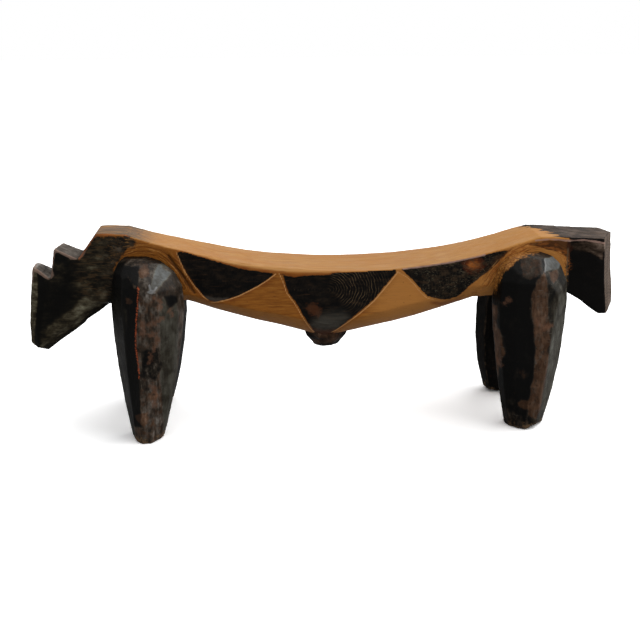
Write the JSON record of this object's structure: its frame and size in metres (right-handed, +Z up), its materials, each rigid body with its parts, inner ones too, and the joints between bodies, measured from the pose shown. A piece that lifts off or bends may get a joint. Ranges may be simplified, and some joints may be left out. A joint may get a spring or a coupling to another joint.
{
  "type": "carved wooden headrest",
  "caption": "Low four-legged animal headrest carved in wood, with a curved saddle top, stepped head, hooked tail, faceted legs and dark triangular fields on the flanks.",
  "frame": {"origin": "centre of the bounding box's bottom face, on the floor between the four feet", "axes": "+X from the head towards the tail, +Y towards the animal's right side, +Z up"},
  "size_m": [0.4658, 0.114, 0.154],
  "materials": {
    "honey_wood": "satin, hand rubbed, with dark scorched fields",
    "dark_stained_wood": "stained near black, semi-gloss and worn to red-brown at the edges"
  },
  "bodies": {
    "root": {"saddle_beam": "honey_wood", "stepped_head": "dark_stained_wood", "hooked_tail": "dark_stained_wood", "left_front_leg": "dark_stained_wood", "right_front_leg": "dark_stained_wood", "left_hind_leg": "dark_stained_wood", "right_hind_leg": "dark_stained_wood", "belly_knob": "dark_stained_wood"}
  },
  "joints": []
}
